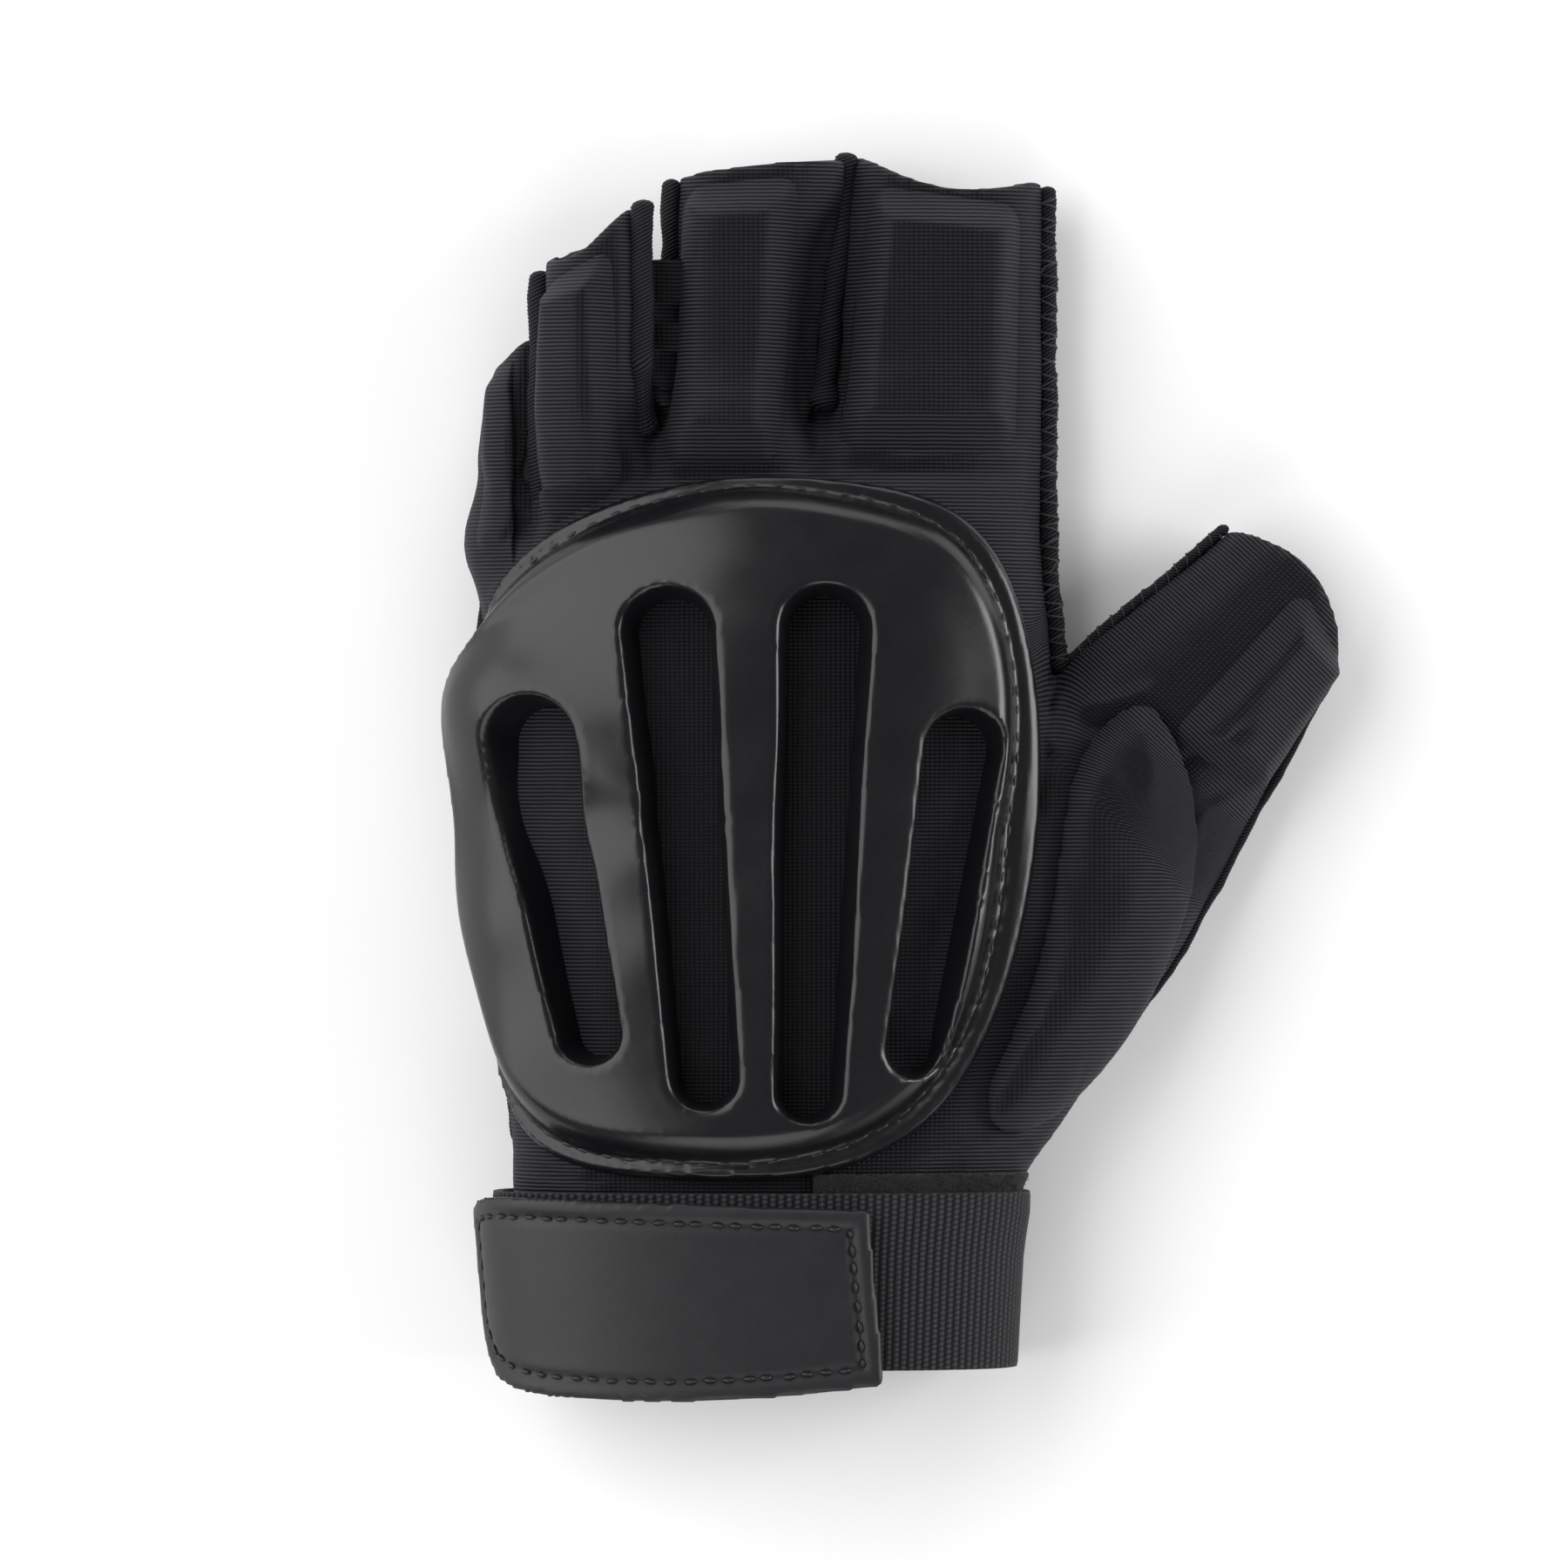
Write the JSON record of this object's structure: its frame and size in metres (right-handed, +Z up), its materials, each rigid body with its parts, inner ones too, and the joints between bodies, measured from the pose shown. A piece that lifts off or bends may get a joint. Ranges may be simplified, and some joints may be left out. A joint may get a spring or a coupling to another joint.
{
  "type": "field hockey glove",
  "caption": "Left-hand field hockey glove with half-length fingers, padded finger backs, a moulded shell on the back of the hand and an elastic wrist band with a closing tab",
  "frame": {"origin": "the middle of the footprint, on the ground under the palm", "axes": "+Y from the wrist to the fingers, +X to the thumb side, +Z up out of the back of the hand"},
  "size_m": [0.1464, 0.1994, 0.0416],
  "materials": {
    "knit_fabric": "near-black ribbed knit over foam",
    "palm_suede": "near-black synthetic suede",
    "moulded_shell": "satin dark grey moulded rubber",
    "strap_rubber": "matt dark grey synthetic strap",
    "elastic_webbing": "near-black woven elastic",
    "loop_pile": "near-black loop pile",
    "seam_binding": "near-black rolled seam edges"
  },
  "bodies": {
    "root": {"back_panel": "knit_fabric", "palm_panel": "palm_suede", "pad_little": "knit_fabric", "pad_ring": "knit_fabric", "pad_middle": "knit_fabric", "pad_index": "knit_fabric", "pad_thumb": "knit_fabric", "thumb_cushion": "knit_fabric", "back_shell": "moulded_shell", "wrist_band": "elastic_webbing", "closure_tab": "strap_rubber", "loop_patch": "loop_pile", "seam_ring_left": "seam_binding", "seam_ring_right": "seam_binding", "seam_middle_left": "seam_binding", "seam_index_left": "seam_binding", "seam_index_right": "seam_binding", "seam_thumb_inner": "seam_binding", "seam_thumb_outer": "seam_binding", "seam_little_side": "seam_binding"}
  },
  "joints": []
}
